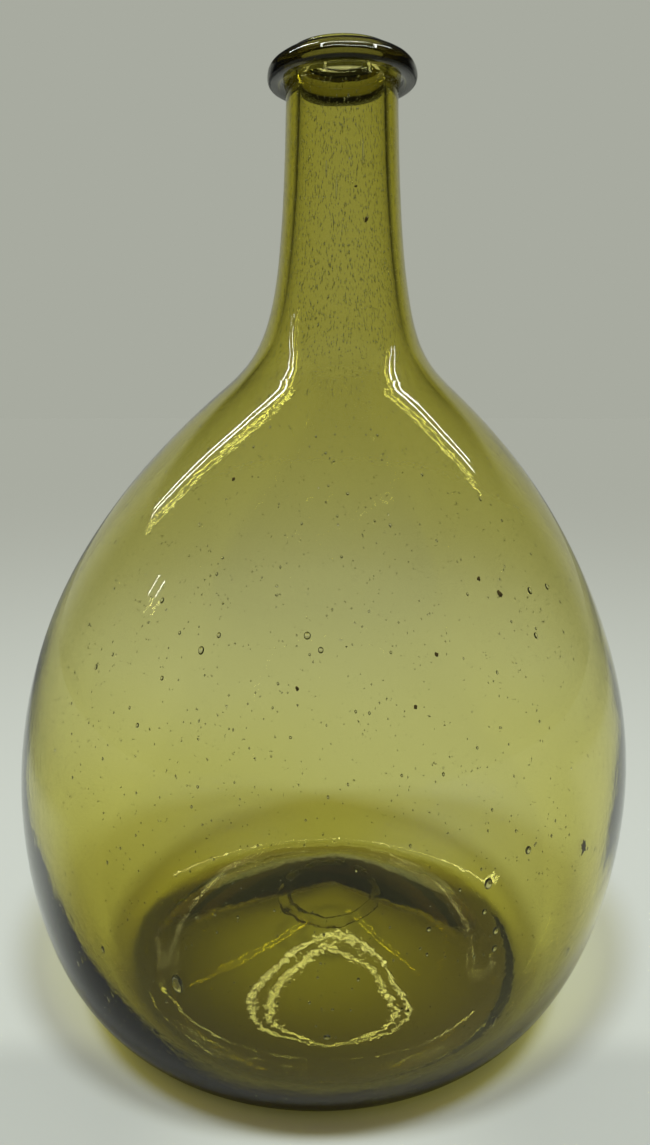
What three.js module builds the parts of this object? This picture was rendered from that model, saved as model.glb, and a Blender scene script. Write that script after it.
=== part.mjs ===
// A free-blown chestnut flask: a globular body on a pushed-up base, a long neck, a trail of glass
// wound on round the mouth, and the ring of glass that the pontil iron left under the base.
// Millimetres, +Z up. It stands on z = 0, with the widest ring of the body centred on the Z axis.
import * as THREE from "three";

const { degToRad, smoothstep } = THREE.MathUtils;

// Heights
const HEIGHT = 240;
const LIP_HEIGHT = 7.2;
const LIP_FOOT = HEIGHT - LIP_HEIGHT;
const SHOULDER_HEIGHT = 160.5;
const WIDEST_HEIGHT = 63.3;
const KICK_HEIGHT = 20;

// Outer radii, and the slopes of the wall at the foot and where the shoulder turns into the neck
const BODY_RADIUS = 78.3;
const FOOT_RADIUS = 52.2;
const KICK_RADIUS = 49.5;
const SHOULDER_RADIUS = 30.4;
const NECK_RADIUS = 13.4;
const FOOT_SLOPE = degToRad(29);
const SHOULDER_SLOPE = degToRad(41.9);
const NECK_TAPER = degToRad(1.2);

// How far each curve of the wall keeps to its end direction, from the foot up to the neck
const FOOT_REACH = 28.7;
const WIDEST_REACH_DOWN = 7.7;
const WIDEST_REACH_UP = 28.2;
const SHOULDER_REACH_DOWN = 48.9;
const SHOULDER_REACH_UP = 14.6;
const NECK_REACH = 60.2;

// Thickness of the glass: thick at the heel and base, thin round the body, thicker in the neck
const BASE_WALL = 5.5;
const HEEL_WALL = 5.2;
const SIDE_WALL = 1.3;
const NECK_WALL = 1.95;
const HEEL_TOP = 75;
const NECK_WALL_FROM = 120;
const NECK_WALL_FULL = 190;

// The axis isn't straight: the foot sits a little to one side and the neck to the other
const FOOT_LEAN = -1.3;
const BODY_LEAN = 1.9;
const NECK_LEAN = 4;
const BODY_LEAN_TOP = 100;
const NECK_LEAN_FROM = 95;
const NECK_LEAN_TOP = 190;

// The lip's section, tooled down and out: widest low down, sloping in to the mouth
const LIP_RADIUS = 17.9;
const LIP_UNDERSIDE_RADIUS = 16.6;
const LIP_WIDEST_UP = 1.5;
const LIP_TOP_DROP = 0.9;
const LIP_TILT = degToRad(0.8);

// The pontil scar: a low ring on the underside of the push-up
const SCAR_RADIUS = 12.6;
const SCAR_HALF_WIDTH = 1.6;
const SCAR_DEPTH = 1.3;

// Space kept between pieces that are fused together on the real bottle
const GAP = 0.3;

// Fineness of the surfaces
const SIDES = 40;
const WALL_ROWS = 30;
const BASE_ROWS = 10;
const RIM_ROWS = 6;
const LIP_ROWS = 8;
const SCAR_ROWS = 6;

const along = (angle, length) => new THREE.Vector2(Math.cos(angle) * length, Math.sin(angle) * length);
const up = (length) => new THREE.Vector2(0, length);

// The outer wall's curve, from the foot to the top of the neck, as radius and height
function outerWall() {
  const foot = new THREE.Vector2(FOOT_RADIUS, 0);
  const widest = new THREE.Vector2(BODY_RADIUS, WIDEST_HEIGHT);
  const shoulder = new THREE.Vector2(SHOULDER_RADIUS, SHOULDER_HEIGHT);
  const neck = new THREE.Vector2(NECK_RADIUS, LIP_FOOT);
  const shoulderLine = Math.PI - SHOULDER_SLOPE;
  const neckLine = Math.PI / 2 + NECK_TAPER;
  const wall = new THREE.CurvePath();
  wall.add(new THREE.CubicBezierCurve(
    foot,
    foot.clone().add(along(FOOT_SLOPE, FOOT_REACH)),
    widest.clone().sub(up(WIDEST_REACH_DOWN)),
    widest,
  ));
  wall.add(new THREE.CubicBezierCurve(
    widest,
    widest.clone().add(up(WIDEST_REACH_UP)),
    shoulder.clone().sub(along(shoulderLine, SHOULDER_REACH_DOWN)),
    shoulder,
  ));
  wall.add(new THREE.CubicBezierCurve(
    shoulder,
    shoulder.clone().add(along(shoulderLine, SHOULDER_REACH_UP)),
    neck.clone().sub(along(neckLine, NECK_REACH)),
    neck,
  ));
  return wall;
}

function wallThickness(height) {
  const heel = 1 - smoothstep(height, 0, HEEL_TOP);
  const neck = smoothstep(height, NECK_WALL_FROM, NECK_WALL_FULL);
  return SIDE_WALL + (HEEL_WALL - SIDE_WALL) * heel + (NECK_WALL - SIDE_WALL) * neck;
}

// The underside of the push-up: a smooth dome from the resting ring to its top on the axis
function kickHeight(radius) {
  return KICK_HEIGHT * (1 + Math.cos(Math.PI * radius / KICK_RADIUS)) / 2;
}

// How far the axis stands off the Z axis along X at each height
function leanAt(height) {
  const body = BODY_LEAN * smoothstep(height, 0, BODY_LEAN_TOP);
  const neck = NECK_LEAN * smoothstep(height, NECK_LEAN_FROM, NECK_LEAN_TOP);
  return FOOT_LEAN + body + neck;
}

// Turns a section round the axis, stands it up along Z and moves each ring to the leaning axis
function turned(section) {
  const geometry = new THREE.LatheGeometry(section, SIDES).rotateX(Math.PI / 2);
  const place = geometry.attributes.position;
  for (let i = 0; i < place.count; i += 1) {
    place.setX(i, place.getX(i) + leanAt(place.getZ(i)));
  }
  geometry.computeVertexNormals();
  return geometry;
}

function glass(color) {
  return new THREE.MeshStandardMaterial({ color, roughness: 0.06, metalness: 0 });
}

// The blown vessel: down the outside, under the push-up, and back up the inside to the mouth
function flaskBody() {
  const wall = outerWall();
  const outside = [];
  const inside = [];
  for (let row = 0; row <= WALL_ROWS; row += 1) {
    const share = row / WALL_ROWS;
    const point = wall.getPointAt(share);
    const tangent = wall.getTangentAt(share);
    const inward = new THREE.Vector2(-tangent.y, tangent.x);
    outside.push(point);
    inside.push(point.clone().addScaledVector(inward, wallThickness(point.y)));
  }
  const rimRadius = NECK_WALL / 2;
  const rimCentre = new THREE.Vector2(NECK_RADIUS - rimRadius, HEIGHT - rimRadius);
  const rim = [];
  for (let row = 0; row <= RIM_ROWS; row += 1) {
    rim.push(rimCentre.clone().add(along(Math.PI * row / RIM_ROWS, rimRadius)));
  }
  const underside = [];
  const floor = [];
  for (let row = 0; row <= BASE_ROWS; row += 1) {
    const radius = KICK_RADIUS * row / BASE_ROWS;
    underside.push(new THREE.Vector2(radius, kickHeight(radius)));
    if (row < BASE_ROWS) floor.push(new THREE.Vector2(radius, kickHeight(radius) + BASE_WALL));
  }
  return turned([...underside, ...outside, ...rim, ...inside.reverse(), ...floor.reverse()]);
}

// The wound-on trail: a collar round the neck, open at the top for the mouth
function appliedLip() {
  const bore = NECK_RADIUS + GAP;
  const topInside = new THREE.Vector2(bore, HEIGHT - LIP_TOP_DROP);
  const widest = new THREE.Vector2(LIP_RADIUS, LIP_FOOT + LIP_WIDEST_UP);
  const underside = new THREE.Vector2(LIP_UNDERSIDE_RADIUS, LIP_FOOT);
  const roll = new THREE.QuadraticBezierCurve(underside, new THREE.Vector2(LIP_RADIUS, LIP_FOOT), widest);
  const slope = new THREE.QuadraticBezierCurve(
    widest,
    new THREE.Vector2(LIP_RADIUS - GAP, HEIGHT - LIP_HEIGHT / 3),
    topInside,
  );
  const section = [
    new THREE.Vector2(bore, LIP_FOOT),
    ...roll.getPoints(LIP_ROWS / 2),
    ...slope.getPoints(LIP_ROWS).slice(1),
    new THREE.Vector2(bore, LIP_FOOT),
  ];
  const geometry = turned(section);
  const neckAxis = leanAt(LIP_FOOT);
  const middle = LIP_FOOT + LIP_HEIGHT / 2;
  return geometry.translate(-neckAxis, 0, -middle).rotateY(-LIP_TILT).translate(neckAxis, 0, middle);
}

// The scar: its upper face follows the push-up, its lower face bulges down
function pontilScar() {
  const upper = [];
  const lower = [];
  for (let row = 0; row <= SCAR_ROWS; row += 1) {
    const across = 2 * row / SCAR_ROWS - 1;
    const radius = SCAR_RADIUS + SCAR_HALF_WIDTH * across;
    const face = kickHeight(radius) - GAP;
    const bulge = SCAR_DEPTH * Math.sqrt(1 - across * across);
    upper.push(new THREE.Vector2(radius, face));
    if (row > 0 && row < SCAR_ROWS) lower.push(new THREE.Vector2(radius, face - bulge));
  }
  return turned([...lower, ...upper.reverse(), lower[0].clone()]);
}

const group = new THREE.Group();

function add(name, geometry, color) {
  const mesh = new THREE.Mesh(geometry, glass(color));
  mesh.name = name;
  group.add(mesh);
}

add("flask_body", flaskBody(), 0x8f9446);
add("applied_lip", appliedLip(), 0x5c5a2c);
add("pontil_scar", pontilScar(), 0x7a7438);

export default group;
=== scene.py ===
# A free-blown chestnut flask of seedy olive glass, on a pale sweep under soft light, with twin tubes
# that it mirrors. Metres, +Z up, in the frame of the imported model, whose pieces give the driving sizes.
import math
import random

import bmesh
import bpy
from bpy.props import FloatProperty, FloatVectorProperty, IntProperty, PointerProperty
from mathutils import Matrix, Vector, noise
from mathutils.geometry import interpolate_bezier


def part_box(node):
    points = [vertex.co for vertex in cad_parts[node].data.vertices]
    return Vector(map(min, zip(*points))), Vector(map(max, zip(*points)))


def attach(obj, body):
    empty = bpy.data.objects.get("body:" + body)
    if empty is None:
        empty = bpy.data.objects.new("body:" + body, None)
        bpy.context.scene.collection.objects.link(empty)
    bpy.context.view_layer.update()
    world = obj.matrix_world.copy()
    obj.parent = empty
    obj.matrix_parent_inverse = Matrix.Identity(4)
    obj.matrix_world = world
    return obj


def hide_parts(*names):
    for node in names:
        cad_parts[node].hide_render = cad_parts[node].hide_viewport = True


bl_info = {
    "name": "Chestnut Flask",
    "version": (1, 0, 0),
    "blender": (4, 5, 0),
    "location": "View3D > Sidebar > Flask",
    "description": "Builds a free-blown olive glass flask with its wound lip, pontil scar and seeds",
    "category": "Add Mesh",
}

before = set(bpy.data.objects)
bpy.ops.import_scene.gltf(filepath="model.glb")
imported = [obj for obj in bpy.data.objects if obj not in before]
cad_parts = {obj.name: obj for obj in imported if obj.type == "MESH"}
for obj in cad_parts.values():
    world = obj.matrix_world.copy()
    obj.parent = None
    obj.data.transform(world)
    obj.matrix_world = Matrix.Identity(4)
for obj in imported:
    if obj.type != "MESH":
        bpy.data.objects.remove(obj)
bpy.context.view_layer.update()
BODY_LOW, BODY_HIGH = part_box("flask_body")
LIP_LOW, LIP_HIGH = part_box("applied_lip")
SCAR_LOW, SCAR_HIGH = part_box("pontil_scar")

# Driving sizes, read off the frame
HEIGHT = BODY_HIGH.z
BODY_RADIUS = (BODY_HIGH.y - BODY_LOW.y) / 2
LIP_RADIUS = (LIP_HIGH.y - LIP_LOW.y) / 2
SCAR_OUTER = (SCAR_HIGH.y - SCAR_LOW.y) / 2

# The outer wall: radii and heights of the foot, the widest ring, the shoulder and the neck
FOOT_RADIUS = 0.0522
KICK_RADIUS = 0.0495
FLOOR_RADIUS = 0.0485
SHOULDER_RADIUS = 0.0304
NECK_RADIUS = 0.0134
WIDEST_HEIGHT = 0.0633
SHOULDER_HEIGHT = 0.1605
LIP_HEIGHT = 0.0072
LIP_FOOT = HEIGHT - LIP_HEIGHT
FOOT_SLOPE = math.radians(29)
SHOULDER_SLOPE = math.radians(180 - 41.9)
NECK_SLOPE = math.radians(90 + 1.2)
FOOT_REACH = 0.0287
WIDEST_REACH_DOWN = 0.0077
WIDEST_REACH_UP = 0.0282
SHOULDER_REACH_DOWN = 0.0489
SHOULDER_REACH_UP = 0.0146
NECK_REACH = 0.0602

# Heights between which the wall changes thickness and the axis wanders
HEEL_TOP = 0.105
NECK_WALL_FROM = 0.080
NECK_WALL_FULL = 0.185
FOOT_LEAN = -0.0013
BODY_LEAN = 0.0019
NECK_LEAN = 0.004
BODY_LEAN_TOP = 0.100
NECK_LEAN_FROM = 0.095
NECK_LEAN_TOP = 0.190

# The push-up: how far its two faces keep level at the crown and the foot, and how far their
# crowns stand off the axis
UNDER_REACH = (0.0105, 0.0053)
FLOOR_REACH = (0.0133, 0.0059)
UNDER_LEAN = Vector((0.0040, 0.0052, 0))
FLOOR_LEAN = Vector((0.0043, 0.0108, 0))
CROWN_BELOW = 0.04

# The hollow stands off the axis at the heel, so the glass is thicker on one side
HOLLOW_LEAN = Vector((0.0013, 0.0003, 0))
HOLLOW_LEAN_TOP = 0.065

# The waves of the inside: how fine the slow and the quick ones are, and the quick ones' share
SLOW_WAVES = 45
QUICK_WAVES = 150
QUICK_SHARE = 0.35

# The lip's section and the scar's
LIP_UNDERSIDE = 0.0166
LIP_WIDEST_UP = 0.0015
LIP_TOP_DROP = 0.0009
LIP_TILT = math.radians(0.8)
SCAR_HALF_WIDTH = 0.0016
SCAR_DEPTH = 0.0013
FUSED = 0.00005

# The lip's tooling marks, as depths and how fine they are
LIP_MARKS = ((0.0004, 60), (0.00007, 260))

# The scar stands whole on one side and is broken off on the other, with an uneven edge
SCAR_STANDS = Vector((-0.57, -0.82, 0))
SCAR_BREAK = (0.2, 0.8)
SCAR_LEAST = 0.06
SCAR_CHIPS = (0.5, 200)
SCAR_WANDER = (0.07, 260)

# Fineness
TURN_STEPS = 144
SPAN_ROWS = (40, 44, 38)
RIM_ROWS = 8
BASE_ROWS = 30
TROUGH_ROWS = 10
LIP_STEPS = 160
SCAR_ROWS = 12
SEED_BATCH = 60

# The trough inside the heel starts at the first row of the wall at the front, and at the other at
# the back. It changes between two shares of the way to the back
TROUGH_WALL_ROW = 3
ROUND_TROUGH_ROW = 5
TROUGH_CHANGE = (-0.2, 0.5)

# Between these heights the bubbles change from round to drawn out along the glass
SEEDS_DRAWN = (0.152, 0.190)
SEEDS_FROM = (0.004, 0.005)
LOWEST_SEED_ROW = 4

# The widths of the small bubbles, and their lengths in metres or as shares of their widths
NECK_SEED_WIDTHS = (0.00018, 0.00028)
NECK_SEED_LENGTHS = (0.0004, 0.0013)
BODY_SEED_WIDTHS = (0.00026, 0.00046)
BODY_SEED_STRETCH = (1.0, 1.9)
LARGE_SEED_WIDTHS = (0.00036, 0.00070)
LARGE_SEED_STRETCH = (1.0, 1.6)
SEED_DEPTHS = (0.3, 0.7)

# Bubbles and stones of the front wall: X and height, then width and length, in millimetres
BUBBLES = (
    (-29.2, 44.2, 2.7, 4.6), (32.6, 66.1, 1.9, 2.4), (41.3, 70.7, 1.6, 1.8), (34.7, 55.1, 1.5, 1.9),
    (34.7, 50.9, 1.3, 1.7), (32.0, 60.2, 1.1, 1.4), (20.6, 58.9, 1.0, 1.2), (0.9, 35.0, 1.5, 1.5),
    (36.5, 30.3, 1.2, 4.4), (54.4, 39.1, 0.9, 2.4), (-46.3, 45.8, 1.0, 1.9), (-65.5, 60.6, 0.7, 3.0),
    (-54.2, 36.9, 0.7, 2.6), (-46.6, 31.7, 0.7, 2.4), (-23.8, 111.1, 1.3, 1.8), (-20.3, 114.1, 0.9, 1.2),
    (-47.5, 104.3, 1.0, 1.2), (-32.8, 119.1, 0.9, 1.3), (-36.8, 95.8, 0.8, 1.0), (-31.8, 105.2, 0.8, 1.0),
    (-2.9, 114.8, 1.4, 1.6), (-0.3, 112.3, 1.1, 1.3), (43.9, 119.7, 1.3, 1.7), (48.6, 119.6, 1.1, 1.5),
    (44.4, 111.2, 1.1, 1.4), (9.6, 215.2, 0.4, 6.0), (3.0, 207.0, 0.4, 5.0), (0.5, 211.3, 0.4, 4.0),
)
STONES = (
    (10.4, 200.4, 0.8, 1.2), (7.8, 207.5, 0.5, 0.6), (-19.1, 142.9, 0.7, 0.9), (32.0, 123.5, 0.8, 0.9),
    (36.5, 120.2, 1.3, 1.6), (55.8, 65.4, 1.7, 2.9), (-4.8, 105.6, 0.7, 0.8), (22.3, 110.7, 0.8, 0.8),
    (17.8, 101.7, 0.7, 0.8),
)


def smooth_step(value, start, end):
    """0 below start, 1 above end, and a smooth rise between them."""
    share = min(1.0, max(0.0, (value - start) / (end - start)))
    return share * share * (3 - 2 * share)


def along(angle, length):
    """A step in the section's plane, where X is the radius."""
    return Vector((math.cos(angle) * length, 0, math.sin(angle) * length))


def lean_at(height):
    """How far the axis stands off the Z axis along X."""
    body = BODY_LEAN * smooth_step(height, 0, BODY_LEAN_TOP)
    neck = NECK_LEAN * smooth_step(height, NECK_LEAN_FROM, NECK_LEAN_TOP)
    return FOOT_LEAN + body + neck


class FlaskSizes(bpy.types.PropertyGroup):
    """Sizes of the glass that can change without leaving the frame."""

    side_wall: FloatProperty(
        name="Side Wall", description="Thickness round the body", default=0.0010, unit="LENGTH")
    heel_wall: FloatProperty(
        name="Heel Wall", description="Thickness at the foot", default=0.0036, unit="LENGTH")
    neck_wall: FloatProperty(
        name="Neck Wall", description="Thickness in the neck", default=0.0030, unit="LENGTH")
    mouth_wall: FloatProperty(
        name="Mouth Wall", description="Thickness at the mouth", default=0.0033, unit="LENGTH")
    floor_low: FloatProperty(
        name="Floor Edge", description="Height of the inner floor at its edge",
        default=0.0085, unit="LENGTH")
    floor_high: FloatProperty(
        name="Floor Crown", description="Height of the inner floor at its crown",
        default=0.0247, unit="LENGTH")
    kick_height: FloatProperty(
        name="Push-up", description="Height of the push-up under the base",
        default=0.0205, unit="LENGTH")
    wall_wave: FloatProperty(
        name="Wall Wave", description="Unevenness of the inside of the wall",
        default=0.00006, unit="LENGTH")
    floor_wave: FloatProperty(
        name="Floor Wave", description="Unevenness of the inner floor", default=0.00012, unit="LENGTH")
    body_seeds: IntProperty(
        name="Body Seeds", description="Small bubbles in the body's wall", default=3500, min=0)
    neck_seeds: IntProperty(
        name="Neck Seeds", description="Drawn-out bubbles in the neck and shoulder", default=3600, min=0)
    large_seeds: IntProperty(
        name="Large Seeds", description="Larger bubbles in the body's wall", default=650, min=0)


class FlaskGlass(bpy.types.PropertyGroup):
    """Colours of the glass."""

    absorbed: FloatVectorProperty(
        name="Passed Colour", description="Colour that the glass lets through",
        default=(0.862, 0.832, 0.235), subtype="COLOR", size=3, min=0, max=1)
    lip_absorbed: FloatVectorProperty(
        name="Lip's Passed Colour", description="Colour that the darker glass of the lip lets through",
        default=(0.50, 0.465, 0.05), subtype="COLOR", size=3, min=0, max=1)
    density: FloatProperty(
        name="Density", description="Strength of the glass colour, per metre", default=450.0, min=0)
    stone: FloatVectorProperty(
        name="Stones", description="Colour of the unmelted specks",
        default=(0.035, 0.026, 0.010), subtype="COLOR", size=3, min=0, max=1)


class FlaskStage(bpy.types.PropertyGroup):
    """The sweep, the room and the lights."""

    # Near Floor and Far Floor paint a falloff of light across the sweep: lighter beside the flask, greyer
    # far out. Far Floor is also the backdrop's colour.
    near_floor: FloatVectorProperty(
        name="Near Floor", description="Colour of the sweep beside the flask",
        default=(0.66, 0.705, 0.635), subtype="COLOR", size=3, min=0, max=1)
    far_floor: FloatVectorProperty(
        name="Far Floor", description="Colour of the sweep far behind",
        default=(0.392, 0.407, 0.352), subtype="COLOR", size=3, min=0, max=1)
    # Front Floor is a painted shade: the glass's reflections show the sweep in this darker colour in
    # front of the flask and beyond the paper's sides, where the camera sees it pale.
    mirrored_front_shade: FloatVectorProperty(
        name="Front Floor", description="Colour of the sweep in front, as the glass mirrors it",
        default=(0.20, 0.21, 0.19), subtype="COLOR", size=3, min=0, max=1)
    ceiling: FloatVectorProperty(
        name="Ceiling", description="Colour of the ceiling, as the glass mirrors it",
        default=(0.10, 0.11, 0.11), subtype="COLOR", size=3, min=0, max=1)
    room: FloatVectorProperty(
        name="Room", description="Dark surroundings that the edges of the glass pick up",
        default=(0.020, 0.022, 0.024), subtype="COLOR", size=3, min=0, max=1)
    # Inside is a painted reflection: a lighter room colour seen only by mirrored rays that have passed
    # more than two glass surfaces, so the base's dark crescents show olive-grey.
    inside: FloatVectorProperty(
        name="Inside", description="Colour of the room as glass within the flask mirrors it",
        default=(0.17, 0.18, 0.15), subtype="COLOR", size=3, min=0, max=1)
    light: FloatProperty(
        name="Soft Light", description="Strength of the light from all round", default=0.06, min=0)
    dome: FloatProperty(
        name="Dome", description="Strength of the light from the whole ceiling", default=0.61, min=0)
    overhead: FloatProperty(
        name="Overhead Lights", description="Strength of each of the two lights overhead",
        default=1.30, min=0)
    tubes: FloatProperty(
        name="Tubes", description="Strength of the twin tubes under the ceiling", default=16.0, min=0)


def wall_thickness(sizes, height):
    """Thick at the heel, thin round the body and thicker in the neck."""
    heel = max(0.0, 1 - height / HEEL_TOP)
    neck = smooth_step(height, NECK_WALL_FROM, NECK_WALL_FULL)
    mouth = smooth_step(height, NECK_WALL_FULL, LIP_FOOT)
    side = sizes.side_wall
    growth = (sizes.neck_wall - side) * neck + (sizes.mouth_wall - sizes.neck_wall) * mouth
    return side + (sizes.heel_wall - side) * heel + growth


def level_curve(radius, high, low, reach, rows):
    """A curve from a level crown on the axis down to a level foot at a radius."""
    crown = Vector((0, 0, high))
    foot = Vector((radius, 0, low))
    return interpolate_bezier(crown, crown + along(0, reach[0]), foot - along(0, reach[1]), foot, rows)


def kick_at(sizes, radius):
    """Height of the push-up's underside."""
    curve = level_curve(KICK_RADIUS, sizes.kick_height, 0, UNDER_REACH, BASE_ROWS)
    after = next(row for row, point in enumerate(curve) if point.x >= radius)
    start, end = curve[after - 1], curve[after]
    return start.lerp(end, (radius - start.x) / (end.x - start.x)).z


def outer_wall():
    """Points up the outside from the foot to the top of the neck, as radius, 0 and height."""
    foot = Vector((FOOT_RADIUS, 0, 0))
    widest = Vector((BODY_RADIUS, 0, WIDEST_HEIGHT))
    shoulder = Vector((SHOULDER_RADIUS, 0, SHOULDER_HEIGHT))
    neck = Vector((NECK_RADIUS, 0, LIP_FOOT))
    up = Vector((0, 0, 1))
    below_shoulder = shoulder - along(SHOULDER_SLOPE, SHOULDER_REACH_DOWN)
    above_shoulder = shoulder + along(SHOULDER_SLOPE, SHOULDER_REACH_UP)
    spans = (
        (foot, foot + along(FOOT_SLOPE, FOOT_REACH), widest - up * WIDEST_REACH_DOWN, widest),
        (widest, widest + up * WIDEST_REACH_UP, below_shoulder, shoulder),
        (shoulder, above_shoulder, neck - along(NECK_SLOPE, NECK_REACH), neck),
    )
    points = []
    for span, rows in zip(spans, SPAN_ROWS):
        points += interpolate_bezier(*span, rows + 1)[:-1]
    return points + [neck]


def inward(points, row):
    """The direction into the glass, square to the outer wall."""
    run = points[min(row + 1, len(points) - 1)] - points[max(row - 1, 0)]
    return Vector((-run.z, 0, run.x)).normalized()


def inner_wall(sizes, points):
    """The inside of the wall, at its thickness from each point of the outside."""
    return [p + inward(points, row) * wall_thickness(sizes, p.z) for row, p in enumerate(points)]


def turn(bm, section, steps, closed, inner_from=None, moves=()):
    """Spins a section round the Z axis and closes its seam and poles. Marks the inside and the steps
    that its points take at the back."""
    layer = bm.verts.layers.float.new("inner")
    back = bm.verts.layers.float_vector.new("back")
    line = [bm.verts.new(point) for point in section]
    if inner_from is not None:
        for vertex in line[inner_from:]:
            vertex[layer] = 1.0
    for vertex, move in zip(line[inner_from:], moves):
        vertex[back] = move
    edges = [bm.edges.new(pair) for pair in zip(line, line[1:])]
    if closed:
        edges.append(bm.edges.new((line[-1], line[0])))
    bmesh.ops.spin(bm, geom=line + edges, cent=(0, 0, 0), axis=(0, 0, 1), dvec=(0, 0, 0),
                   angle=math.tau, steps=steps, use_merge=True, use_duplicate=False)
    bmesh.ops.remove_doubles(bm, verts=bm.verts, dist=1e-7)
    bmesh.ops.recalc_face_normals(bm, faces=bm.faces)
    return layer


def lean_crown(bm, layer):
    """Moves the crowns of the push-up off the axis and leaves its foot."""
    for vertex in bm.verts:
        radius = math.hypot(vertex.co.x, vertex.co.y)
        if vertex.co.z < CROWN_BELOW and radius < KICK_RADIUS:
            lean = FLOOR_LEAN if vertex[layer] > 0.5 else UNDER_LEAN
            vertex.co += lean * (1 - radius / KICK_RADIUS)


def round_back(bm):
    """Rounds the trough inside the heel at the back."""
    back = bm.verts.layers.float_vector["back"]
    for vertex in bm.verts:
        flat = Vector((vertex.co.x, vertex.co.y, 0))
        if vertex[back].length > 0:
            out = flat.normalized()
            share = smooth_step(out.y, *TROUGH_CHANGE)
            vertex.co += (out * vertex[back].x + Vector((0, 0, vertex[back].z))) * share


def shape_inside(bm, sizes, layer):
    """Stands the hollow off the axis at the heel and waves its surface."""
    bm.normal_update()
    moves = []
    for vertex in bm.verts:
        if vertex[layer] > 0.5:
            low = 1 - smooth_step(vertex.co.z, 0, HOLLOW_LEAN_TOP)
            radius = math.hypot(vertex.co.x, vertex.co.y)
            floor = smooth_step(radius, FLOOR_RADIUS, 0) * (vertex.co.z < CROWN_BELOW)
            wave = sizes.wall_wave + (sizes.floor_wave - sizes.wall_wave) * floor
            slow = noise.noise(vertex.co * SLOW_WAVES)
            swell = slow + QUICK_SHARE * noise.noise(vertex.co * QUICK_WAVES)
            moves.append((vertex, HOLLOW_LEAN * low + vertex.normal * swell * wave))
    for vertex, move in moves:
        vertex.co += move


def follow_axis(bm):
    """Moves each ring to the leaning axis."""
    for vertex in bm.verts:
        vertex.co.x += lean_at(vertex.co.z)


def finished(bm, name, material, node):
    """Makes the piece from its mesh, in place of a node of the frame."""
    for face in bm.faces:
        face.smooth = True
    mesh = bpy.data.meshes.new(name)
    bm.to_mesh(mesh)
    bm.free()
    piece = bpy.data.objects.new(name, mesh)
    bpy.context.scene.collection.objects.link(piece)
    mesh.materials.append(material)
    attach(piece, "root")
    if node:
        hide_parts(node)
    return piece


# Materials

def add_node(tree, kind, inputs=(), **settings):
    """Adds a shader node. Each of inputs is a socket's name or number, and its value or the socket
    to link."""
    made = tree.nodes.new(kind)
    for name, value in settings.items():
        setattr(made, name, value)
    for socket, value in inputs:
        if isinstance(value, bpy.types.NodeSocket):
            tree.links.new(value, made.inputs[socket])
        else:
            made.inputs[socket].default_value = value
    return made


def maths(tree, operation, first, second):
    """The result of a sum on two numbers or sockets."""
    return add_node(tree, "ShaderNodeMath", ((0, first), (1, second)), operation=operation).outputs[0]


def mixed(tree, share, first, second):
    """A colour between two colours or sockets."""
    made = add_node(tree, "ShaderNodeMix", ((0, share), (6, first), (7, second)), data_type="RGBA")
    return made.outputs[2]


def fade(tree, value, start, end):
    """0 before start, 1 beyond end, and a smooth change between them."""
    low, high = min(start, end), max(start, end)
    ends = (0.0, 1.0) if start < end else (1.0, 0.0)
    return add_node(tree, "ShaderNodeMapRange", (
        ("Value", value), (1, low), (2, high), (3, ends[0]), (4, ends[1])),
        interpolation_type="SMOOTHSTEP").outputs[0]


def light_path(tree):
    """1 for mirrored light, and the outputs of the light's path."""
    path = add_node(tree, "ShaderNodeLightPath").outputs
    return maths(tree, "GREATER_THAN", path["Glossy Depth"], 0.5), path


def new_material(name):
    """An empty node material and its tree."""
    material = bpy.data.materials.new(name)
    material.use_nodes = True
    material.node_tree.nodes.clear()
    return material, material.node_tree


# How fine the ripple and the inner grain of the glass are, and how much more grain the floor has
RIPPLE_SCALE = 55.0
GRAIN_SCALE = 560.0
FLOOR_GRAIN = 1.35

# The light that the glass passes down to the floor, set by place, so the flask's shadow on the floor is
# partly painted. The base passes less, darker on its left, and the body, the shoulder and the neck more,
# some colours above 1: painted light that stands for the light that the real flask gathers
PASSED_CROWN = (0.73, 0.73, 0.74, 1)
PASSED_BASE_LEFT = (0.36, 0.36, 0.39, 1)
PASSED_BASE_RIGHT = (0.57, 0.57, 0.58, 1)
PASSED_HEEL = (0.957, 0.957, 0.957, 1)
PASSED_FACING = (1.0, 1.0, 1.0, 1)
PASSED_ASLANT = (1.28, 1.30, 1.55, 1)
PASSED_GRAZING = (0.72, 0.72, 0.74, 1)
PASSED_SHOULDER = (1.08, 1.10, 1.50, 1)
PASSED_NECK = (1.22, 1.28, 2.80, 1)
GRAZING_POWER = 5.0

# Where these change: radii of the crown and the base, X of its sides, Y of its back and how far
# the base is cut in there, and heights of the base, the heel, the body and the shoulder
CROWN_EDGE = (0.020, 0.052)
BASE_EDGE = (0.055, 0.062)
BASE_SIDES = (-0.010, 0.035)
BASE_BACK = (0.010, 0.040)
BASE_BACK_CUT = 0.010
BASE_TOP = (0.026, 0.034)
HEEL_END = (0.045, 0.075)
BODY_END = (0.08, 0.12)
SHOULDER_END = (0.15, 0.18)


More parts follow.
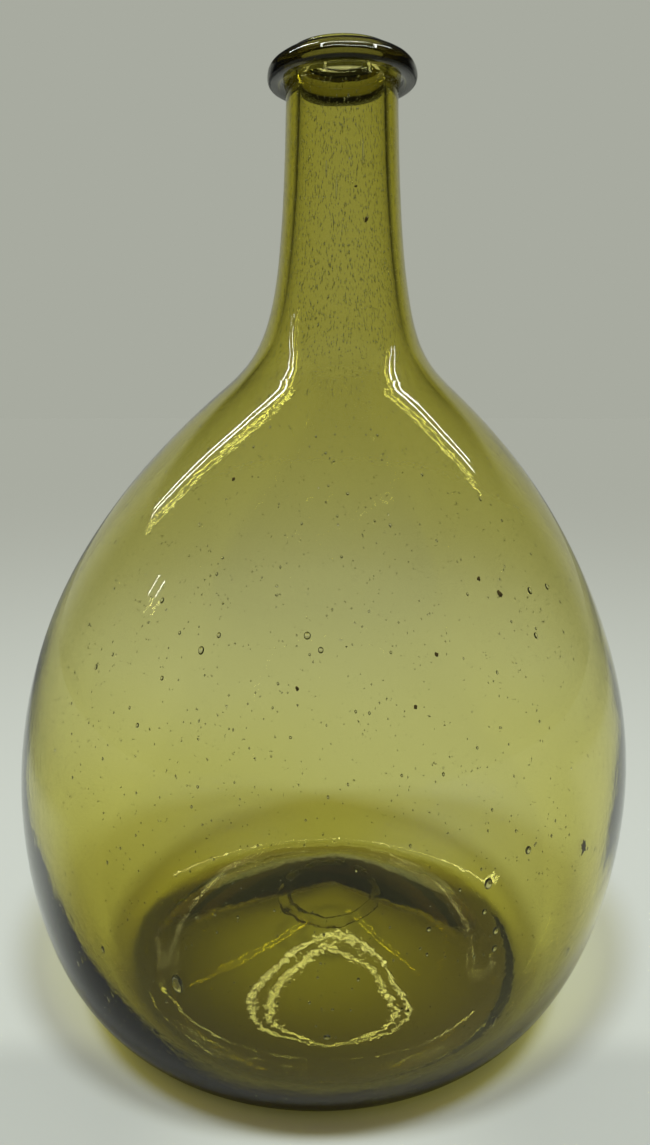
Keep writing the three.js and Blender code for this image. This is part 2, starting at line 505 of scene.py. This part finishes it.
def passed_light(tree, axes):
    """The colour of the light that the glass passes down to the floor, painted by place."""
    facing = add_node(tree, "ShaderNodeLayerWeight", (("Blend", 0.5),)).outputs["Facing"]
    level = add_node(tree, "ShaderNodeCombineXYZ", ((0, axes[0]), (1, axes[1]))).outputs[0]
    radius = add_node(tree, "ShaderNodeVectorMath", ((0, level),), operation="LENGTH").outputs["Value"]
    cut = maths(tree, "MULTIPLY", fade(tree, axes[1], *BASE_BACK), BASE_BACK_CUT)
    edge = fade(tree, maths(tree, "ADD", radius, cut), *BASE_EDGE)
    outside = maths(tree, "MAXIMUM", edge, fade(tree, axes[2], *BASE_TOP))
    ring = mixed(tree, fade(tree, axes[0], *BASE_SIDES), PASSED_BASE_LEFT, PASSED_BASE_RIGHT)
    push_up = mixed(tree, fade(tree, radius, *CROWN_EDGE), PASSED_CROWN, ring)
    low = mixed(tree, outside, push_up, PASSED_HEEL)
    middle = mixed(tree, facing, PASSED_FACING, PASSED_ASLANT)
    body = mixed(tree, fade(tree, axes[2], *HEEL_END), low, middle)
    grazing = mixed(tree, maths(tree, "POWER", facing, GRAZING_POWER), body, PASSED_GRAZING)
    shoulder = mixed(tree, fade(tree, axes[2], *SHOULDER_END), PASSED_SHOULDER, PASSED_NECK)
    return mixed(tree, fade(tree, axes[2], *BODY_END), grazing, shoulder)


def glass(name, passed, roughness, ripple, inner_grain):
    """Olive glass: clear at the surface, coloured by its depth, a little uneven, rougher inside."""
    colours = bpy.context.scene.flask_glass
    material, tree = new_material(name)
    place = add_node(tree, "ShaderNodeTexCoord").outputs["Object"]
    axes = add_node(tree, "ShaderNodeSeparateXYZ", ((0, place),)).outputs
    inner = add_node(tree, "ShaderNodeAttribute", attribute_name="inner").outputs["Fac"]
    swell = add_node(tree, "ShaderNodeTexNoise", (
        ("Vector", place), ("Scale", RIPPLE_SCALE), ("Detail", 1.0)))
    grain = add_node(tree, "ShaderNodeTexNoise", (
        ("Vector", place), ("Scale", GRAIN_SCALE), ("Detail", 2.0)))
    slow = add_node(tree, "ShaderNodeBump", (
        ("Strength", 1.0), ("Distance", ripple), ("Height", swell.outputs[0])))
    coarse = add_node(tree, "ShaderNodeMapRange", (
        ("Value", axes[2]), (1, BASE_TOP[0]), (2, BASE_TOP[1]), (3, FLOOR_GRAIN), (4, 1.0))).outputs[0]
    fine_depth = maths(tree, "MULTIPLY", maths(tree, "MULTIPLY", inner, coarse), grain.outputs[0])
    fine = add_node(tree, "ShaderNodeBump", (
        ("Strength", 1.0), ("Distance", inner_grain), ("Height", fine_depth),
        ("Normal", slow.outputs[0])))
    smear = add_node(tree, "ShaderNodeMapRange", (
        ("Value", swell.outputs[0]), (3, roughness * 0.5), (4, roughness * 1.5)))
    surface = add_node(tree, "ShaderNodeBsdfPrincipled", (
        ("Base Color", (1, 1, 1, 1)), ("Roughness", smear.outputs[0]), ("IOR", 1.52),
        ("Transmission Weight", 1.0), ("Normal", fine.outputs[0])))
    depth = add_node(tree, "ShaderNodeVolumeAbsorption", (
        ("Color", (*passed, 1)), ("Density", colours.density)))
    # Shadow rays pass through a clear shader of this painted colour, so the glass's shadow on the floor
    # is partly painted.
    clear = add_node(tree, "ShaderNodeBsdfTransparent", (("Color", passed_light(tree, axes)),))
    path = add_node(tree, "ShaderNodeLightPath")
    shown = add_node(tree, "ShaderNodeMixShader", (
        (0, path.outputs["Is Shadow Ray"]), (1, surface.outputs[0]), (2, clear.outputs[0])))
    add_node(tree, "ShaderNodeOutputMaterial", (
        ("Surface", shown.outputs[0]), ("Volume", depth.outputs[0])))
    return material


def stone_material():
    """Dark unmelted specks."""
    colours = bpy.context.scene.flask_glass
    material, tree = new_material("stone")
    place = add_node(tree, "ShaderNodeTexCoord").outputs["Object"]
    crust = add_node(tree, "ShaderNodeTexNoise", (("Vector", place), ("Scale", 2500.0), ("Detail", 3.0)))
    light = tuple(c * 3 for c in colours.stone)
    colour = mixed(tree, crust.outputs[0], (*colours.stone, 1), (*light, 1))
    bump = add_node(tree, "ShaderNodeBump", (("Distance", 0.0001), ("Height", crust.outputs[0])))
    surface = add_node(tree, "ShaderNodeBsdfPrincipled", (
        ("Base Color", colour), ("Roughness", 0.6), ("Normal", bump.outputs[0])))
    add_node(tree, "ShaderNodeOutputMaterial", (("Surface", surface.outputs[0]),))
    return material


# The vessel

def wall_place(points, inner, row, share, angle, depth):
    """A point in the wall, the way up the wall and the way in: depth is 0 outside and 1 inside."""
    outside = points[row].lerp(points[row + 1], share)
    point = outside.lerp(inner[row].lerp(inner[row + 1], share), depth)
    rise = (points[row + 1] - points[row]).normalized()
    spin = Matrix.Rotation(angle, 3, "Z")
    place = spin @ point
    place.x += lean_at(place.z)
    return place, spin @ rise, spin @ inward(points, row)


def front_place(points, inner, x, z, depth):
    """The same for a point of the front wall, from its X and height in millimetres."""
    row = max(row for row in range(len(points) - 1) if points[row].z <= z / 1000)
    share = (z / 1000 - points[row].z) / (points[row + 1].z - points[row].z)
    radius = points[row].lerp(points[row + 1], share).x
    angle = math.asin((x / 1000 - lean_at(z / 1000)) / radius) - math.pi / 2
    return wall_place(points, inner, row, share, angle, depth)


def hollow(bm, place, rise, inside, size, fineness=1):
    """A bubble as wide, long and deep as size, with its faces towards its hollow. The plainest has
    8 faces."""
    across = rise.cross(inside)
    axes = Matrix((across, inside, rise)).transposed().to_4x4()
    matrix = Matrix.Translation(place) @ axes @ Matrix.Diagonal((size[0], size[2], size[1], 1))
    if fineness:
        made = bmesh.ops.create_icosphere(bm, subdivisions=fineness, radius=0.5, matrix=matrix)
    else:
        made = bmesh.ops.create_uvsphere(bm, u_segments=4, v_segments=2, radius=0.5, matrix=matrix)
    bmesh.ops.reverse_faces(bm, faces=list({f for v in made["verts"] for f in v.link_faces}))


def seed_rows(points, low, full, high, draw, count):
    """Rows of the wall between two heights, as often as their area asks for, and fewer below full."""
    rows = [row for row in range(LOWEST_SEED_ROW, len(points) - 1) if low < points[row].z <= high]
    areas = [(points[row + 1] - points[row]).length * points[row].x for row in rows]
    weights = [area * smooth_step(points[row].z, low, full) for area, row in zip(areas, rows)]
    return draw.choices(rows, weights=weights, k=count)


def add_seeds(sizes, bm, points, inner):
    """Thousands of small bubbles, round in the body and drawn out along the neck, and the larger
    ones by name."""
    draw = random.Random(7)
    seeds = []
    for row in seed_rows(points, *SEEDS_DRAWN, LIP_FOOT, draw, sizes.neck_seeds):
        width = draw.uniform(*NECK_SEED_WIDTHS)
        seeds.append((row, (width, draw.uniform(*NECK_SEED_LENGTHS), width), 0))
    least, most = BODY_SEED_WIDTHS
    for row in seed_rows(points, *SEEDS_FROM, SEEDS_DRAWN[1], draw, sizes.body_seeds):
        width = least + (most - least) * draw.random() ** 3
        seeds.append((row, (width, width * draw.uniform(*BODY_SEED_STRETCH), width * 0.8), 0))
    for row in seed_rows(points, *SEEDS_FROM, SEEDS_DRAWN[0], draw, sizes.large_seeds):
        width = draw.uniform(*LARGE_SEED_WIDTHS)
        seeds.append((row, (width, width * draw.uniform(*LARGE_SEED_STRETCH), width * 0.7), 1))
    scratch = bpy.data.meshes.new("seed_batch")
    for start in range(0, len(seeds), SEED_BATCH):
        batch = bmesh.new()
        for row, size, fineness in seeds[start:start + SEED_BATCH]:
            angle = draw.uniform(0, math.tau)
            spot = wall_place(points, inner, row, draw.random(), angle, draw.uniform(*SEED_DEPTHS))
            hollow(batch, *spot, size, fineness)
        batch.to_mesh(scratch)
        batch.free()
        bm.from_mesh(scratch)
    bpy.data.meshes.remove(scratch)
    for x, z, width, length in BUBBLES:
        depth = min(0.0006, width * 0.0007)
        hollow(bm, *front_place(points, inner, x, z, 0.5), (width / 1000, length / 1000, depth), 2)


def trough_curve(inner, row, floor_end, rows):
    """The hollow's curve from a row of the wall round to the edge of its floor."""
    reach = (inner[row] - floor_end).length / 2.5
    down = (inner[row] - inner[row + 1]).normalized()
    out = along(0, reach)
    return interpolate_bezier(inner[row], inner[row] + down * reach, floor_end + out, floor_end, rows)


def vessel_section(sizes):
    """The closed section: under the push-up, up the outside, round the rim and down the inside."""
    points = outer_wall()
    inner = inner_wall(sizes, points)
    rim_radius = sizes.mouth_wall / 2
    rim_centre = Vector((NECK_RADIUS - rim_radius, 0, HEIGHT - rim_radius))
    rim = [rim_centre + along(math.pi * row / RIM_ROWS, rim_radius) for row in range(RIM_ROWS + 1)]
    under = level_curve(KICK_RADIUS, sizes.kick_height, 0, UNDER_REACH, BASE_ROWS)
    floor = level_curve(FLOOR_RADIUS, sizes.floor_high, sizes.floor_low, FLOOR_REACH, BASE_ROWS)
    added = ROUND_TROUGH_ROW - TROUGH_WALL_ROW
    sharp = inner[ROUND_TROUGH_ROW:TROUGH_WALL_ROW:-1]
    sharp += trough_curve(inner, TROUGH_WALL_ROW, floor[-1], TROUGH_ROWS)
    wide = trough_curve(inner, ROUND_TROUGH_ROW, floor[-1], TROUGH_ROWS + added)
    outside = under + points + rim
    inside = inner[:ROUND_TROUGH_ROW:-1] + sharp + floor[-2::-1]
    before = len(inner) - 1 - ROUND_TROUGH_ROW
    moves = [Vector()] * before + [b - a for a, b in zip(sharp, wide)]
    return points, inner, outside, inside, moves


class FLASK_OT_vessel(bpy.types.Operator):
    """Build the blown vessel with the bubbles in its wall"""

    bl_idname = "flask.vessel"
    bl_label = "Blown Vessel"

    def execute(self, context):
        sizes = context.scene.flask_sizes
        points, inner, outside, inside, moves = vessel_section(sizes)
        bm = bmesh.new()
        layer = turn(bm, outside + inside, TURN_STEPS, False, len(outside), moves)
        round_back(bm)
        lean_crown(bm, layer)
        shape_inside(bm, sizes, layer)
        follow_axis(bm)
        add_seeds(sizes, bm, points, inner)
        colour = context.scene.flask_glass.absorbed
        material = glass("vessel_glass", colour, roughness=0.008, ripple=0.00003, inner_grain=0.000011)
        finished(bm, "blown_vessel", material, "flask_body")
        return {"FINISHED"}


class FLASK_OT_stones(bpy.types.Operator):
    """Build the dark unmelted specks in the wall"""

    bl_idname = "flask.stones"
    bl_label = "Stones"

    def execute(self, context):
        sizes = context.scene.flask_sizes
        points, inner, *_ = vessel_section(sizes)
        bm = bmesh.new()
        for x, z, width, length in STONES:
            place, rise, inside = front_place(points, inner, x, z, 0.5)
            axes = Matrix((rise.cross(inside), inside, rise)).transposed().to_4x4()
            size = Matrix.Diagonal((width / 1000, 0.0005, length / 1000, 1))
            made = bmesh.ops.create_icosphere(
                bm, subdivisions=3, radius=0.5, matrix=Matrix.Translation(place) @ axes @ size)
            for vertex in made["verts"]:
                away = vertex.co - place
                vertex.co += away * (0.8 * noise.noise(vertex.co * 2500))
        finished(bm, "stones", stone_material(), None)
        return {"FINISHED"}


def bent(start, corner, end, rows):
    """A curve between two points that bends towards a corner."""
    return interpolate_bezier(start, start.lerp(corner, 2 / 3), end.lerp(corner, 2 / 3), end, rows)


class FLASK_OT_lip(bpy.types.Operator):
    """Build the trail of glass wound round the mouth"""

    bl_idname = "flask.lip"
    bl_label = "Applied Lip"

    def execute(self, context):
        bore = NECK_RADIUS - FUSED
        widest = Vector((LIP_RADIUS, 0, LIP_FOOT + LIP_WIDEST_UP))
        underside = Vector((LIP_UNDERSIDE, 0, LIP_FOOT))
        top_inside = Vector((bore, 0, HEIGHT - LIP_TOP_DROP))
        corner = Vector((LIP_RADIUS, 0, LIP_FOOT))
        crest = Vector((LIP_RADIUS, 0, HEIGHT - LIP_HEIGHT / 3))
        roll = bent(underside, corner, widest, 9)
        slope = bent(widest, crest, top_inside, 17)
        bm = bmesh.new()
        turn(bm, [Vector((bore, 0, LIP_FOOT)), *roll, *slope[1:]], LIP_STEPS, True)
        follow_axis(bm)
        bm.normal_update()
        for vertex in bm.verts:
            radius = math.hypot(vertex.co.x - lean_at(LIP_FOOT), vertex.co.y)
            swell = sum(depth * noise.noise(vertex.co * scale) for depth, scale in LIP_MARKS)
            vertex.co += vertex.normal * swell * smooth_step(radius, bore, LIP_RADIUS)
        middle = Vector((lean_at(LIP_FOOT), 0, LIP_FOOT + LIP_HEIGHT / 2))
        bmesh.ops.rotate(bm, cent=middle, matrix=Matrix.Rotation(-LIP_TILT, 3, "Y"), verts=bm.verts)
        colour = context.scene.flask_glass.lip_absorbed
        material = glass("lip_glass", colour, roughness=0.01, ripple=0.00005, inner_grain=0.0)
        finished(bm, "wound_lip", material, "applied_lip")
        return {"FINISHED"}


class FLASK_OT_scar(bpy.types.Operator):
    """Build the ring of rough glass under the push-up"""

    bl_idname = "flask.scar"
    bl_label = "Pontil Scar"

    def execute(self, context):
        sizes = context.scene.flask_sizes
        middle = SCAR_OUTER - SCAR_HALF_WIDTH
        upper = []
        lower = []
        for row in range(SCAR_ROWS + 1):
            across = 2 * row / SCAR_ROWS - 1
            radius = middle + SCAR_HALF_WIDTH * across
            face = kick_at(sizes, radius) + FUSED
            upper.append(Vector((radius, 0, face)))
            if 0 < row < SCAR_ROWS:
                lower.append(Vector((radius, 0, face - SCAR_DEPTH * math.sqrt(1 - across * across))))
        bm = bmesh.new()
        layer = turn(bm, lower + upper[::-1], LIP_STEPS, True)
        for vertex in bm.verts:
            flat = Vector((vertex.co.x, vertex.co.y, 0))
            face = kick_at(sizes, flat.length) + FUSED
            share = flat.normalized().dot(SCAR_STANDS) + SCAR_CHIPS[0] * noise.noise(flat * SCAR_CHIPS[1])
            left_standing = SCAR_LEAST + (1 - SCAR_LEAST) * smooth_step(share, *SCAR_BREAK)
            vertex.co.z = face + (vertex.co.z - face) * left_standing
            vertex.co += flat * (SCAR_WANDER[0] * noise.noise(vertex.co * SCAR_WANDER[1]))
        lean_crown(bm, layer)
        follow_axis(bm)
        colour = context.scene.flask_glass.absorbed
        material = glass("scar_glass", colour, roughness=0.25, ripple=0.0003, inner_grain=0.0)
        finished(bm, "broken_scar", material, "pontil_scar")
        return {"FINISHED"}


class FLASK_OT_stage(bpy.types.Operator):
    """Build the sweep, the room, the lights, the tubes and the camera"""

    bl_idname = "flask.stage"
    bl_label = "Sweep, Lights and Camera"

    def execute(self, context):
        stage = context.scene.flask_stage
        make_floor(stage)
        make_world(stage)
        make_overhead(stage)
        make_tubes(stage)
        make_camera()
        context.scene.view_settings.view_transform = "Standard"
        context.scene.cycles.max_bounces = 24
        context.scene.cycles.glossy_bounces = 10
        context.scene.cycles.transmission_bounces = 24
        context.scene.cycles.transparent_max_bounces = 32
        return {"FINISHED"}


# The sweep: how far out its colour is halfway to the far one and how fast that comes, which paint a
# falloff of light; and the painted shadow on each side in front of the flask, with its strength and where
# it starts: aside, outwards and forwards
SWEEP_HALF = 0.33
SWEEP_POWER = 1.3
PAINTED_FRONT_SHADOW = 0.19
PAINTED_SHADOW_ASIDE = (0.012, 0.050)
PAINTED_SHADOW_OUT = (0.17, 0.09)
PAINTED_SHADOW_FORWARDS = (-0.024, -0.040)

# The paper: as far as the glass's edges mirror it, in metres and degrees, and the ceiling
PAPER_LEFT = (-0.30, -0.22)
PAPER_RIGHT = (0.60, 0.45)
PAPER_FRONT = (-0.055, 0.02)
PAPER_WIDTH = (38.0, 62.0)
PAPER_TOP = (0.50, 0.40)
CEILING = (0.44, 0.56)
CEILING_MIRRORED = (0.70, 0.85)

# The dome of soft light: the way it comes from, and the cosines between which it fades in
DOME_WAY = Vector((0, -0.35, 1.0)).normalized()
DOME_SPREAD = (0.64, 0.96)


def make_floor(stage):
    """The pale sweep, lightest round the flask and greyer far behind: a painted falloff of light. A
    painted shadow lies on each side in front of the flask.
    """
    bm = bmesh.new()
    bmesh.ops.create_circle(bm, cap_ends=True, segments=96, radius=12.0,
                            matrix=Matrix.Translation((0, 0, -0.0002)))
    mesh = bpy.data.meshes.new("sweep")
    bm.to_mesh(mesh)
    bm.free()
    floor = bpy.data.objects.new("sweep", mesh)
    bpy.context.scene.collection.objects.link(floor)
    material, tree = new_material("sweep_paper")
    place = add_node(tree, "ShaderNodeTexCoord").outputs["Object"]
    radius = add_node(tree, "ShaderNodeVectorMath", ((0, place),), operation="LENGTH").outputs["Value"]
    # Painted falloff of light: the sweep's colour fades from the near colour to the far one with the
    # distance from the flask.
    share = maths(tree, "DIVIDE", radius, SWEEP_HALF)
    painted_falloff = maths(tree, "POWER", 0.5, maths(tree, "POWER", share, SWEEP_POWER))
    paper_with_painted_falloff = mixed(tree, painted_falloff, (*stage.far_floor, 1), (*stage.near_floor, 1))
    axes = add_node(tree, "ShaderNodeSeparateXYZ", ((0, place),)).outputs
    # Painted shadow: on each side in front of the flask the sweep is darkened towards black, though no
    # light casts a shadow there.
    aside = fade(tree, maths(tree, "ABSOLUTE", axes[0], 0.0), *PAINTED_SHADOW_ASIDE)
    near = maths(tree, "MULTIPLY", fade(tree, radius, *PAINTED_SHADOW_OUT), fade(tree, axes[1], *PAINTED_SHADOW_FORWARDS))
    painted_shadow = maths(tree, "MULTIPLY", maths(tree, "MULTIPLY", near, aside), PAINTED_FRONT_SHADOW)
    colour = mixed(tree, painted_shadow, paper_with_painted_falloff, (0, 0, 0, 1))
    left, right = fade(tree, axes[0], *PAPER_LEFT), fade(tree, axes[0], *PAPER_RIGHT)
    behind = fade(tree, axes[1], *PAPER_FRONT)
    paper = maths(tree, "MULTIPLY", maths(tree, "MULTIPLY", left, right), behind)
    turned, _ = light_path(tree)
    # In the glass's reflections the sweep outside the paper takes the darker front colour, a painted
    # shade.
    mirrored = mixed(tree, paper, (*stage.mirrored_front_shade, 1), colour)
    shown = mixed(tree, turned, colour, mirrored)
    surface = add_node(tree, "ShaderNodeBsdfDiffuse", (("Color", shown),))
    add_node(tree, "ShaderNodeOutputMaterial", (("Surface", surface.outputs[0]),))
    mesh.materials.append(material)


# The two overhead lights: how far they stand off the zenith and off the front, and how wide they look
OVERHEAD_TILT = math.radians(25)
OVERHEAD_ASIDE = math.radians(26)
OVERHEAD_WIDTH = math.radians(9)


def make_overhead(stage):
    """The two soft lights over the flask, in front of it on the left and the right. The glass
    doesn't mirror them."""
    for name, aside in (("left_overhead", -OVERHEAD_ASIDE), ("right_overhead", OVERHEAD_ASIDE)):
        light = bpy.data.lights.new(name, "SUN")
        light.energy = stage.overhead
        light.angle = OVERHEAD_WIDTH
        light.cycles.use_multiple_importance_sampling = False
        lamp = bpy.data.objects.new(name, light)
        lamp.rotation_euler = (OVERHEAD_TILT, 0, aside)
        lamp.visible_glossy = False
        lamp.visible_transmission = False
        bpy.context.scene.collection.objects.link(lamp)


def make_world(stage):
    """Soft white light, a grey backdrop and a dark room for the glass's edges."""
    world = bpy.data.worlds.new("room")
    bpy.context.scene.world = world
    world.use_nodes = True
    world.cycles.sampling_method = "NONE"
    tree = world.node_tree
    tree.nodes.clear()
    way = add_node(tree, "ShaderNodeTexCoord").outputs["Generated"]
    axes = add_node(tree, "ShaderNodeSeparateXYZ", ((0, way),)).outputs
    turned, path = light_path(tree)
    room = (*stage.room, 1)
    back = (*stage.far_floor, 1)

    turn_aside = maths(tree, "ABSOLUTE", maths(tree, "ARCTAN2", axes[0], axes[1]), 0.0)
    between = fade(tree, turn_aside, math.radians(PAPER_WIDTH[1]), math.radians(PAPER_WIDTH[0]))
    below = fade(tree, axes[2], *PAPER_TOP)
    above = mixed(tree, fade(tree, axes[2], *CEILING_MIRRORED), room, (*stage.ceiling, 1))
    outer = mixed(tree, maths(tree, "MULTIPLY", between, below), above, back)
    # A painted reflection: mirrored rays that have passed more than two glass surfaces see the lighter
    # Inside colour instead of the room.
    beyond_wall = maths(tree, "GREATER_THAN", path["Transmission Depth"], 2.5)
    mirrored = mixed(tree, beyond_wall, outer, (*stage.inside, 1))

    passed = maths(tree, "GREATER_THAN", path["Transmission Depth"], 0.5)
    ceiling = maths(tree, "MULTIPLY", passed, fade(tree, axes[2], *CEILING))
    straight = mixed(tree, ceiling, back, room)
    seen = mixed(tree, turned, straight, mirrored)

    lit = maths(tree, "GREATER_THAN", path["Diffuse Depth"], 0.5)
    toward_dome = add_node(tree, "ShaderNodeVectorMath", (
        (0, way), (1, DOME_WAY)), operation="DOT_PRODUCT").outputs["Value"]
    dome = maths(tree, "MULTIPLY", fade(tree, toward_dome, *DOME_SPREAD), stage.dome)
    soft = maths(tree, "ADD", dome, stage.light)
    colour = mixed(tree, lit, seen, soft)
    surface = add_node(tree, "ShaderNodeBackground", (("Color", colour),))
    add_node(tree, "ShaderNodeOutputWorld", (("Surface", surface.outputs[0]),))


# The twin tubes under the ceiling, as routes of X and Y. The body, the neck, the lip and the heel each
# mirror their own, which the length of the mirrored ray tells apart
BODY_TUBES = (
    ((-3.01, 1.60), (-2.16, 1.30), (-1.49, 0.92), (-0.97, 0.64), (-0.66, 0.54), (0, 0.50),
     (0.73, 0.52), (0.90, 0.61), (1.18, 0.66), (1.54, 0.78)),
    ((-2.85, 1.36), (-2.09, 1.16), (-1.41, 0.78), (-0.91, 0.55), (-0.59, 0.45), (0, 0.45),
     (0.66, 0.44), (0.82, 0.50), (1.12, 0.55), (1.48, 0.67), (1.60, 0.70)),
)
NECK_TUBES = (
    ((-2.60, -0.03), (-1.70, 0.03), (-1.10, 0.08), (-0.74, 0.32), (-0.64, 0.52), (-0.58, 0.60)),
    ((-2.45, -0.20), (-1.59, -0.12), (-1.03, -0.01), (-0.67, 0.24), (-0.57, 0.43), (-0.50, 0.52)),
    ((1.60, 0.13), (1.41, 0.17), (1.08, 0.26), (0.83, 0.39), (0.74, 0.50), (0.68, 0.58)),
    ((1.50, 0.01), (1.33, 0.05), (0.97, 0.13), (0.75, 0.29), (0.66, 0.42), (0.60, 0.50)),
)
LIP_TUBES = (
    ((-0.46, -0.25), (0, -0.38), (0.67, -0.01), (1.10, -0.58),
     (0.40, -1.05), (0, -1.10), (-0.76, -0.90), (-0.46, -0.25)),
    ((-1.16, 0.48), (-0.45, 0.15)),
    ((0.67, -0.01), (1.00, 0.376)),
)

# Places in the glass: the bend between the body and the neck, the top of the neck, and the back of
# the body. Each has its middle X, its step aside, Y and height, and how these change with each metre
# that the tube's point is aside
BEND = (0.0035, Vector((0.012, -0.018, 0.161)), Vector((0, 0, 0.001)))
UNDER_LIP = (0.0046, Vector((0, -0.015, 0.2285)), Vector((0, 0, 0)))
BACK = (0.0, Vector((0, 0.05, 0.13)), Vector((0.037, -0.007, -0.032)))

# The sets of tubes: their height and radius, the places that the glass showing them is above and
# below, and the rays that show them, which are mirrored outside the flask, within it, or both
TUBES = (
    ("body_tube", BODY_TUBES, 1.5, 0.011, None, BEND, "both"),
    ("neck_tube", NECK_TUBES, 1.5, 0.011, BEND, UNDER_LIP, "outside"),
    ("lip_tube", LIP_TUBES, 1.5, 0.055, UNDER_LIP, None, "outside"),
    ("heel_tube", BODY_TUBES, 1.52, 0.050, None, BACK, "within"),
)
TUBE_COLOUR = (0.93, 0.97, 1.0, 1)


def reach_to(tree, place, glass_place):
    """How far a tube's point is from a place in the glass on the same side."""
    middle, near, growth = glass_place
    x = add_node(tree, "ShaderNodeSeparateXYZ", ((0, place),)).outputs[0]
    change = add_node(tree, "ShaderNodeVectorMath", (
        (0, growth), ("Scale", maths(tree, "ABSOLUTE", x, 0.0))), operation="SCALE").outputs[0]
    spot = add_node(tree, "ShaderNodeVectorMath", ((0, near), (1, change))).outputs[0]
    parts = add_node(tree, "ShaderNodeSeparateXYZ", ((0, spot),)).outputs
    step = maths(tree, "MULTIPLY", maths(tree, "SIGN", x, 0.0), parts[0])
    aside = maths(tree, "ADD", step, middle)
    spot = add_node(tree, "ShaderNodeCombineXYZ", ((0, aside), (1, parts[1]), (2, parts[2]))).outputs[0]
    apart = add_node(tree, "ShaderNodeVectorMath", ((0, place), (1, spot)), operation="DISTANCE")
    return apart.outputs["Value"]


def tube_material(name, stage, above, below, rays):
    """A glow that shows only in the glass above one place and below another, by how far its ray came."""
    material, tree = new_material(name)
    turned, path = light_path(tree)
    place = add_node(tree, "ShaderNodeNewGeometry").outputs["Position"]
    in_span = 1.0
    if above:
        in_span = maths(tree, "LESS_THAN", path["Ray Length"], reach_to(tree, place, above))
    if below:
        beyond = maths(tree, "GREATER_THAN", path["Ray Length"], reach_to(tree, place, below))
        in_span = maths(tree, "MULTIPLY", in_span, beyond)
    outside = maths(tree, "LESS_THAN", path["Transmission Depth"], 3.5)
    within = add_node(tree, "ShaderNodeMath", (
        (0, path["Transmission Depth"]), (1, 4.0), (2, 0.5)), operation="COMPARE").outputs[0]
    shows = {
        "outside": maths(tree, "MULTIPLY", in_span, outside),
        "within": maths(tree, "MULTIPLY", in_span, within),
        "both": maths(tree, "MAXIMUM", in_span, within),
    }[rays]
    clear = add_node(tree, "ShaderNodeBsdfTransparent")
    glow = add_node(tree, "ShaderNodeEmission", (("Color", TUBE_COLOUR), ("Strength", stage.tubes)))
    shown = add_node(tree, "ShaderNodeMixShader", (
        (0, maths(tree, "MULTIPLY", turned, shows)), (1, clear.outputs[0]), (2, glow.outputs[0])))
    add_node(tree, "ShaderNodeOutputMaterial", (("Surface", shown.outputs[0]),))
    material.cycles.emission_sampling = "NONE"
    return material


def make_tubes(stage):
    """Twin tubes under the ceiling. They show only in the glass."""
    for name, routes, height, thickness, above, below, rays in TUBES:
        material = tube_material(name, stage, above, below, rays)
        for route in routes:
            curve = bpy.data.curves.new(name, "CURVE")
            curve.dimensions = "3D"
            curve.bevel_depth = thickness
            spline = curve.splines.new("POLY")
            spline.points.add(len(route) - 1)
            for point, (x, y) in zip(spline.points, route):
                point.co = (x, y, height, 1)
            tube = bpy.data.objects.new(name, curve)
            bpy.context.scene.collection.objects.link(tube)
            tube.visible_diffuse = False
            tube.visible_camera = False
            tube.visible_shadow = False
            curve.materials.append(material)


# The camera: its place, its pitch, and its lens and sensor in millimetres
CAMERA_PLACE = Vector((0.0005, -0.23224, 0.15783))
CAMERA_PITCH = math.radians(10.5)
CAMERA_LENS = 28.27
CAMERA_SENSOR = 36.0


def make_camera():
    """The camera, close to the flask and looking a little down."""
    data = bpy.data.cameras.new("camera")
    data.lens = CAMERA_LENS
    data.sensor_width = CAMERA_SENSOR
    data.clip_start = 0.01
    camera = bpy.data.objects.new("camera", data)
    camera.location = CAMERA_PLACE
    camera.rotation_euler = (math.pi / 2 - CAMERA_PITCH, 0, 0)
    bpy.context.scene.collection.objects.link(camera)
    bpy.context.scene.camera = camera


class FLASK_PT_sidebar(bpy.types.Panel):
    """Lists the pieces and their settings"""

    bl_idname = "FLASK_PT_sidebar"
    bl_label = "Chestnut Flask"
    bl_space_type = "VIEW_3D"
    bl_region_type = "UI"
    bl_category = "Flask"

    def draw(self, context):
        for name in ("flask_sizes", "flask_glass", "flask_stage"):
            settings = getattr(context.scene, name)
            for key in settings.bl_rna.properties.keys():
                if key not in ("rna_type", "name"):
                    self.layout.prop(settings, key)
        for operator in OPERATORS:
            self.layout.operator(operator.bl_idname)


OPERATORS = (FLASK_OT_vessel, FLASK_OT_stones, FLASK_OT_lip, FLASK_OT_scar, FLASK_OT_stage)
GROUPS = (FlaskSizes, FlaskGlass, FlaskStage)


def register():
    for kind in (*GROUPS, *OPERATORS, FLASK_PT_sidebar):
        bpy.utils.register_class(kind)
    bpy.types.Scene.flask_sizes = PointerProperty(type=FlaskSizes)
    bpy.types.Scene.flask_glass = PointerProperty(type=FlaskGlass)
    bpy.types.Scene.flask_stage = PointerProperty(type=FlaskStage)


def unregister():
    del bpy.types.Scene.flask_stage
    del bpy.types.Scene.flask_glass
    del bpy.types.Scene.flask_sizes
    for kind in (FLASK_PT_sidebar, *reversed(OPERATORS), *reversed(GROUPS)):
        bpy.utils.unregister_class(kind)


def main():
    register()
    bpy.ops.flask.vessel()
    bpy.ops.flask.stones()
    bpy.ops.flask.lip()
    bpy.ops.flask.scar()
    bpy.ops.flask.stage()


if __name__ == "__main__":
    main()
